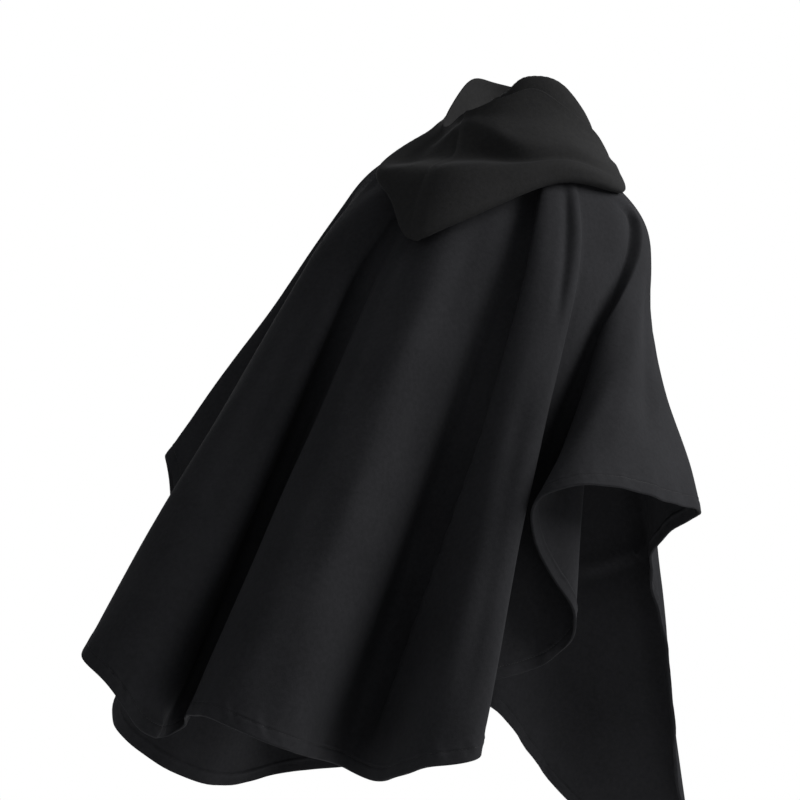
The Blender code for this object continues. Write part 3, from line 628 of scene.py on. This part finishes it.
def edge_profile(from_edge, stitch):
    """Height of a turned and stitched edge, by distance from it: a band, pinched along its stitching."""
    band = soft_step(HEM_BAND + 0.004, HEM_BAND - 0.002, from_edge)
    pinch = np.exp(-(((from_edge - stitch) / PINCH_WIDTH) ** 2))
    return BAND_RISE * band - STITCH_PINCH * pinch


at, station = body_lines()
lines = body_rays(at, BODY_STEPS)
reach = lengths_down(lines)[:, -1:]
tail = np.array(EDGE_DISTANCES + (0.0,))
even_down = np.linspace(0, 1, ROWS_FALL)
upper = even_down[None] * (reach - EDGE_ZONE)
body = read_lines(lines, np.concatenate([upper, reach - tail], axis=1))
body_down = np.concatenate([even_down * (1 - EDGE_ZONE / reach.mean()), 1 - tail / reach.mean()])
crowded = soft_step(*CROWDED_FROM, station) * soft_step(*CROWDED_TO[::-1], station)
body = eased(body, 0.5 * crowded[:, None] * soft_step(*CROWDED_DOWN[::-1], body_down), EASE_PASSES)
body_normals = grid_normals(body, passes=3)
body_arc, body_whole = arcs_round(body)
from_edge = reach - lengths_down(body)
heights = crease_heights(BODY_CREASES, station, body_down, body_arc, body_whole)
for edge, *sizes in LAPPED_FOLDS:
    heights += lapped_fold(body, body_normals, edge, **dict(zip(LAPPED_COLUMNS, sizes)))
step_round = np.linalg.norm(np.roll(body, -1, axis=0) - np.roll(body, 1, axis=0), axis=2)
spread = soft_step(*UNEVEN_SPREAD, step_round / step_round[:, -1:])
for waves_round, waves_down, phase, height in columns_of(BODY_UNEVEN, UNEVEN_COLUMNS, *UNEVEN_COLUMNS):
    wave = np.sin(2 * np.pi * (waves_round * at[:, None] + waves_down * body_down) + phase)
    heights += height * wave * spread
for seam in (LEFT_ARM_RIDGE, RIGHT_ARM_RIDGE):
    line = np.abs(station - seam).argmin()
    away = np.abs((body_arc - body_arc[line] + body_whole / 2) % body_whole - body_whole / 2)
    heights += seam_dip(away) * soft_step(*SEAM_START, body_down)
heights += hem_puckers(body_arc[:, -1:], from_edge) + edge_profile(from_edge, HEM_STITCH)
body = body + heights[:, :, None] * body_normals
body_normals = grid_normals(body, passes=4)
body_thickness = CLOTH + HEM_FOLD * soft_step(HEM_BAND + 0.001, HEM_BAND - 0.001, from_edge)


def panel(grid, first, last):
    """Lines first to last of a closed grid, each end drawn in by half a seam's gap, and their numbers."""
    ring = np.arange(first, last + 1) % len(grid)
    part = grid[ring].copy()
    ahead = unit(np.roll(grid, -1, axis=0) - np.roll(grid, 1, axis=0))
    part[0] += ahead[ring[0]] * SEWN_GAP / 2
    part[-1] -= ahead[ring[-1]] * SEWN_GAP / 2
    return part, ring


def make_panel(name, grid, normals, thickness, first, last):
    """One panel of cloth from a closed grid, and the numbers of its lines."""
    part, ring = panel(grid, first, last)
    return cloth_wall(name, part, normals[ring], thickness[ring], EDGE_TURN), ring


right_line = int(np.abs(station - RIGHT_ARM_RIDGE).argmin())
poncho_back, back_ring = make_panel("poncho_back_cloth", body, body_normals, body_thickness, 0, right_line)
poncho_front, front_ring = make_panel(
    "poncho_front_cloth", body, body_normals, body_thickness, right_line, len(body)
)
stitch_row = len(body_down) - 1 - (len(tail) - 1 - EDGE_DISTANCES.index(HEM_STITCH))


def hem_stitching(name, ring):
    """The hem's stitches on one panel: along the body cloth's row at the stitching, short of both seams."""
    sewn = ring[1:-1], stitch_row
    return stitches(name, body[sewn], body_normals[sewn], **STITCH_SIZES)


back_stitching = hem_stitching("poncho_back_stitching", back_ring)
front_stitching = hem_stitching("poncho_front_stitching", front_ring)

# Hood


def spline_rows(points, steps):
    """Rows of smooth curves through each section's points, spaced by the square root of their distance."""
    gap = np.sqrt(np.linalg.norm(np.diff(points, axis=1), axis=2, keepdims=True)) + 1e-9
    rise = np.diff(points, axis=1) / gap
    middle = (rise[:, :-1] * gap[:, 1:] + rise[:, 1:] * gap[:, :-1]) / (gap[:, 1:] + gap[:, :-1])
    first, last = 2 * rise[:, :1] - middle[:, :1], 2 * rise[:, -1:] - middle[:, -1:]
    slope = np.concatenate([first, middle, last], axis=1)
    rows = []
    for i, count in enumerate(steps):
        for t in np.arange(count + (i == len(steps) - 1)) / count:
            ends = slope[:, i] * gap[:, i], slope[:, i + 1] * gap[:, i]
            rows.append(cubic(points[:, i], ends[0], points[:, i + 1], ends[1], t))
    return np.stack(rows, axis=1)


def round_turn(before, turn, after, radius):
    """The two ends of a rounded turn, radius to each side of it, across the line that halves its angle."""
    across = unit(unit(after - turn) - unit(before - turn))
    return turn - radius * across, turn + radius * across


def lift_clear(points, ground, normals, clearance):
    """Points moved out along the ground's normals until each is its clearance above its nearest point."""
    flat, up = ground.reshape(-1, 3), normals.reshape(-1, 3)
    lifted = points.reshape(-1, 3).copy()
    wanted = np.broadcast_to(clearance, points.shape[:2]).ravel()
    for _ in range(3):
        apart = (lifted**2).sum(1)[:, None] + (flat**2).sum(1) - 2 * lifted @ flat.T
        nearest = apart.argmin(axis=1)
        height = ((lifted - flat[nearest]) * up[nearest]).sum(axis=1)
        lifted += np.maximum(0, wanted - height)[:, None] * up[nearest]
    return lifted.reshape(points.shape)


def hood_surface(ground, ground_normals):
    """The hood's outer face: a ring of upright sections, each a smooth row from the neckline to the rim.

    A section turns out over the collar, sags on its way to the folded edge by a share that grows with the
    drop, and comes back up to the rim, and the whole is lifted clear of the body cloth below it.
    """
    named = HOOD_SECTION_COLUMNS
    angles = np.radians(columns_of(HOOD_SECTIONS, named, "angle")[:, 0])
    shape = columns_of(HOOD_SECTIONS, named, *named[2:])
    knots = (angles - angles[0]) / (2 * np.pi)
    around = 2 * np.pi * np.arange(HOOD_COLUMNS) / HOOD_COLUMNS
    upward = np.array([0.0, 0.0, 1.0])

    def facing(lean):
        """Each section's angle, turned by up to lean degrees at the back seam, and the way that it faces."""
        turn = np.radians(HOOD_SEAM_ANGLE + lean * (1 + np.cos(around)) / 2) + around
        return turn, np.stack([np.cos(turn), np.sin(turn), np.zeros(len(turn))], axis=1)

    place = []
    for i, lean in enumerate(HOOD_SEAM_LEAN):
        turn, toward = facing(lean)
        out_up = ring_spline(knots, shape[:, 2 * i : 2 * i + 2], (turn - angles[0]) / (2 * np.pi))
        place.append(out_up[:, :1] * toward + out_up[:, 1:] * upward)
    place = np.stack(place, axis=1)
    outward = facing(0.0)[1]
    seam = neckline(outward) + SEWN_GAP * upward
    collar, edge = place[:, 0], place[:, 1]
    folded = np.clip((collar[:, 2] - edge[:, 2]) / FULL_FOLD, 0, 1)[:, None]
    run = np.linalg.norm(edge - collar, axis=1, keepdims=True)
    under = collar + UNDER_SHARE * (edge - collar) - UNDER_DIP * run * folded * upward
    high, rim = place[:, -2], place[:, -1]
    rise = np.linalg.norm(rim - high, axis=1, keepdims=True)
    face = (high + rim) / 2 - RIM_DIP * rise * folded * outward
    radius = OPEN_TURN + (FOLD_TURN - OPEN_TURN) * folded
    collar_turn = round_turn(seam, collar, under, radius)
    edge_turn = round_turn(under, edge, place[:, 2], radius)
    points = [seam, *collar_turn, under, *edge_turn, place[:, 2], place[:, 3], high, face, rim]
    rows = spline_rows(np.stack(points, axis=1), HOOD_ROW_STEPS)
    clearance = HOOD_REST * np.clip(np.arange(rows.shape[1]) / REST_ROWS, 0, 1)
    rows[:, 1:] = lift_clear(rows, ground, ground_normals, clearance[None, :])[:, 1:]
    return rows


def refine(grid, times_round, times_down):
    """A finer copy of a ring of rows: a cubic spline down each line, then a periodic one round each row."""
    down = grid.shape[1]
    finer = spline_rows(grid, (times_down,) * (down - 1))
    count = len(grid)
    at_round = np.arange(count * times_round) / (count * times_round)
    flat = finer.reshape(count, -1)
    return ring_spline(np.arange(count) / count, flat, at_round).reshape(count * times_round, -1, 3)


FINER_ROUND = 4
FINER_DOWN = 5
GROUND_LINES = 480
GROUND_STEPS = (16, 20, 24)
HOOD_EVEN_ROWS = 100
HOOD_EDGE_ZONE = 0.033
HOOD_EDGE_DISTANCES = (
    0.030, 0.025, 0.022, 0.019, 0.017, 0.015, 0.013, 0.0115, 0.010, 0.007, 0.004, 0.002, 0.0,
)
# The soft roll of the hood's turned edge: its height, its distance from the edge and its width, and the share
# of the hem's turned thickness that it has between two distances from the edge
ROLL = 0.0008
ROLL_AWAY = 0.004
ROLL_WIDTH = 0.005
ROLL_SHARE = 0.6
ROLL_FROM = (0.014, 0.004)

ground = body_rays(np.arange(GROUND_LINES) / GROUND_LINES, GROUND_STEPS)
hood = hood_surface(ground, grid_normals(ground))
hood = refine(hood, FINER_ROUND, FINER_DOWN)
hood_reach = lengths_down(hood)[:, -1:]
hood_rows = np.linspace(0, 1, HOOD_EVEN_ROWS)[None] * (hood_reach - HOOD_EDGE_ZONE)
hood = read_lines(hood, np.concatenate([hood_rows, hood_reach - np.array(HOOD_EDGE_DISTANCES)], axis=1))
hood_normals = grid_normals(hood, passes=2)
hood_arc, hood_whole = arcs_round(hood)
hood_from_edge = hood_reach - lengths_down(hood)
hood_front = int(round((270 - HOOD_SEAM_ANGLE) / 360 * HOOD_COLUMNS)) * FINER_ROUND
hood_heights = ROLL * np.exp(-(((hood_from_edge - ROLL_AWAY) / ROLL_WIDTH) ** 2))
for line in (0, hood_front):
    away = np.abs((hood_arc - hood_arc[line] + hood_whole / 2) % hood_whole - hood_whole / 2)
    hood_heights = hood_heights + seam_dip(away)
hood = hood + hood_heights[:, :, None] * hood_normals
hood_normals = grid_normals(hood, passes=2)
hood_thickness = CLOTH + ROLL_SHARE * HEM_FOLD * soft_step(*ROLL_FROM, hood_from_edge)
hood_sheet = hood, hood_normals, hood_thickness
hood_right, _ = make_panel("hood_right_cloth", *hood_sheet, 0, hood_front)
hood_left, _ = make_panel("hood_left_cloth", *hood_sheet, hood_front, len(hood))

# Finishes


def link(tree, source, target):
    """Joins one socket to another in a material."""
    tree.links.new(source, target)


def wool(name, dark, light, sheen):
    """Felted wool: two near-black tones mottled by slow and fine noise, a fibrous bump and a nap's sheen."""
    material = bpy.data.materials.new(name)
    material.use_nodes = True
    tree = material.node_tree
    shader = tree.nodes["Principled BSDF"]
    shader.inputs["Roughness"].default_value = 0.92
    shader.inputs["Specular IOR Level"].default_value = 0.18
    shader.inputs["Sheen Weight"].default_value = sheen
    shader.inputs["Sheen Roughness"].default_value = 0.42
    shader.inputs["Sheen Tint"].default_value = (0.62, 0.64, 0.70, 1.0)
    place = tree.nodes.new("ShaderNodeTexCoord")
    cloth = tree.nodes.new("ShaderNodeUVMap")
    cloth.uv_map = "cloth"

    def noise(source, scale, detail, stretch=None):
        """Noise of one scale at the source's coordinates, stretched by a factor along each of them."""
        node = tree.nodes.new("ShaderNodeTexNoise")
        node.inputs["Scale"].default_value = scale
        node.inputs["Detail"].default_value = detail
        if stretch is not None:
            mapping = tree.nodes.new("ShaderNodeMapping")
            mapping.inputs["Scale"].default_value = stretch
            link(tree, source, mapping.inputs["Vector"])
            source = mapping.outputs["Vector"]
        link(tree, source, node.inputs["Vector"])
        return node.outputs["Fac"]

    def blend(a, b, share):
        """The mix of a and b with that share of b."""
        node = tree.nodes.new("ShaderNodeMix")
        node.data_type = "FLOAT"
        node.inputs["Factor"].default_value = share
        link(tree, a, node.inputs["A"])
        link(tree, b, node.inputs["B"])
        return node.outputs["Result"]

    slow = noise(place.outputs["Object"], 7.0, 3.0)
    clumps = noise(place.outputs["Object"], 160.0, 4.0)
    fibres = noise(cloth.outputs["UV"], 1.0, 3.0, (1500.0, 260.0, 1.0))
    fuzz = noise(place.outputs["Object"], 950.0, 2.0)
    tone = blend(blend(slow, clumps, 0.45), blend(fibres, fuzz, 0.5), 0.42)
    ramp = tree.nodes.new("ShaderNodeValToRGB")
    ramp.color_ramp.elements[0].position = 0.36
    ramp.color_ramp.elements[0].color = (*dark, 1.0)
    ramp.color_ramp.elements[1].position = 0.66
    ramp.color_ramp.elements[1].color = (*light, 1.0)
    link(tree, tone, ramp.inputs["Fac"])
    link(tree, ramp.outputs["Color"], shader.inputs["Base Color"])
    nap = blend(blend(fibres, fuzz, 0.5), clumps, 0.5)
    bump = tree.nodes.new("ShaderNodeBump")
    bump.inputs["Strength"].default_value = 0.55
    bump.inputs["Distance"].default_value = 0.0010
    link(tree, nap, bump.inputs["Height"])
    link(tree, bump.outputs["Normal"], shader.inputs["Normal"])
    return material


def thread(name, colour):
    """Sewing thread: one dark colour broken by the twist of its plies."""
    material = bpy.data.materials.new(name)
    material.use_nodes = True
    tree = material.node_tree
    shader = tree.nodes["Principled BSDF"]
    shader.inputs["Roughness"].default_value = 0.6
    place = tree.nodes.new("ShaderNodeTexCoord")
    plies = tree.nodes.new("ShaderNodeTexNoise")
    plies.inputs["Scale"].default_value = 1800.0
    ramp = tree.nodes.new("ShaderNodeValToRGB")
    ramp.color_ramp.elements[0].color = (*[0.6 * c for c in colour], 1.0)
    ramp.color_ramp.elements[1].color = (*colour, 1.0)
    link(tree, place.outputs["Object"], plies.inputs["Vector"])
    link(tree, plies.outputs["Fac"], ramp.inputs["Fac"])
    link(tree, ramp.outputs["Color"], shader.inputs["Base Color"])
    return material


body_wool = wool("charcoal_wool", (0.0165, 0.0166, 0.0186), (0.0315, 0.0316, 0.0350), 0.02)
hood_wool = wool("charcoal_hood_wool", (0.0148, 0.0147, 0.0149), (0.0284, 0.0282, 0.0285), 0.02)
black_thread = thread("black_thread", (0.022, 0.022, 0.024))
for piece in (poncho_back, poncho_front):
    piece.data.materials.append(body_wool)
for piece in (hood_left, hood_right):
    piece.data.materials.append(hood_wool)
for piece in (back_stitching, front_stitching):
    piece.data.materials.append(black_thread)

PANELS = (
    (poncho_back, "poncho_back"),
    (poncho_front, "poncho_front"),
    (hood_left, "hood_left"),
    (hood_right, "hood_right"),
)
for piece, node in PANELS:
    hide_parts(node)
    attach(piece, "root")
for piece in (back_stitching, front_stitching):
    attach(piece, "root")

# Floor, lights and camera

FLOOR_UP = -1.46
floor = add_mesh(
    "floor",
    np.array([[-9, -9, FLOOR_UP], [9, -9, FLOOR_UP], [9, 9, FLOOR_UP], [-9, 9, FLOOR_UP]], float),
    np.array([[0, 1, 2, 3]]),
)
floor_paint = bpy.data.materials.new("pale_floor")
floor_paint.use_nodes = True
floor_paint.node_tree.nodes["Principled BSDF"].inputs["Base Color"].default_value = (0.80, 0.80, 0.80, 1.0)
floor_paint.node_tree.nodes["Principled BSDF"].inputs["Roughness"].default_value = 0.9
floor.data.materials.append(floor_paint)
floor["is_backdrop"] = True

world = bpy.data.worlds.new("studio")
bpy.context.scene.world = world
world.use_nodes = True
sky = world.node_tree
backdrop = sky.nodes["Background"]
backdrop.inputs["Color"].default_value = (1.0, 1.0, 1.0, 1.0)
backdrop.inputs["Strength"].default_value = 1.0
ambient = sky.nodes.new("ShaderNodeBackground")
ambient.inputs["Color"].default_value = (0.93, 0.96, 1.0, 1.0)
ambient.inputs["Strength"].default_value = 0.12
path = sky.nodes.new("ShaderNodeLightPath")
mix = sky.nodes.new("ShaderNodeMixShader")
link(sky, path.outputs["Is Camera Ray"], mix.inputs["Fac"])
link(sky, ambient.outputs["Background"], mix.inputs[1])
link(sky, backdrop.outputs["Background"], mix.inputs[2])
link(sky, mix.outputs["Shader"], sky.nodes["World Output"].inputs["Surface"])


def look_at(place, target):
    """The matrix of an object at place whose -Z points at target."""
    back = unit(np.array(place, float) - np.array(target, float))
    side = unit(np.cross((0, 0, 1), back))
    turn = np.eye(4)
    turn[:3, :3] = np.stack([side, np.cross(back, side), back], axis=1)
    turn[:3, 3] = place
    return Matrix(turn.tolist())


LIGHT_COLUMNS = ("name", "left", "back", "up", "aim_left", "aim_back", "aim_up", "size", "power")
LIGHTS = (
    ("key", -3.0, 0.75, 1.9, 0.05, 0.10, -0.35, 2.4, 138),
    ("overhead", 0.3, 0.4, 2.9, 0.05, 0.05, -0.40, 2.2, 6),
    ("fill", 2.8, 2.2, 0.2, 0.10, 0.10, -0.50, 2.6, 6),
    ("front fill", 0.6, -3.2, 1.4, 0.05, 0.00, -0.40, 2.6, 45),
)
for name, *numbers in LIGHTS:
    light = dict(zip(LIGHT_COLUMNS[1:], numbers))
    lamp = bpy.data.lights.new(name, "AREA")
    lamp.size = light["size"]
    lamp.energy = light["power"]
    holder = bpy.data.objects.new(name.replace(" ", "_") + "_light", lamp)
    place = light["left"], light["back"], light["up"]
    holder.matrix_world = look_at(place, (light["aim_left"], light["aim_back"], light["aim_up"]))
    bpy.context.scene.collection.objects.link(holder)

CAMERA_PLACE = (0.124, 3.0815, -0.9522)
CAMERA_TILT = math.radians(10)
CAMERA_ROLL = math.radians(10)
level_right = np.array([-1.0, 0.0, 0.0])
level_up = np.array([0.0, math.sin(CAMERA_TILT), math.cos(CAMERA_TILT)])
toward = np.array([0.0, -math.cos(CAMERA_TILT), math.sin(CAMERA_TILT)])
right = math.cos(CAMERA_ROLL) * level_right + math.sin(CAMERA_ROLL) * level_up
up = -math.sin(CAMERA_ROLL) * level_right + math.cos(CAMERA_ROLL) * level_up
camera = bpy.data.objects.new("camera", bpy.data.cameras.new("camera"))
camera.data.sensor_width = 36.0
camera.data.lens = 96.0
turned = np.eye(4)
turned[:3, :3] = np.stack([right, up, -toward], axis=1)
turned[:3, 3] = CAMERA_PLACE
camera.matrix_world = Matrix(turned.tolist())
bpy.context.scene.collection.objects.link(camera)
bpy.context.scene.camera = camera
bpy.context.scene.view_settings.view_transform = "Standard"

sizes = {"cad": [list(corner) for corner in cad_box], "visual": [list(corner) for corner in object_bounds()]}
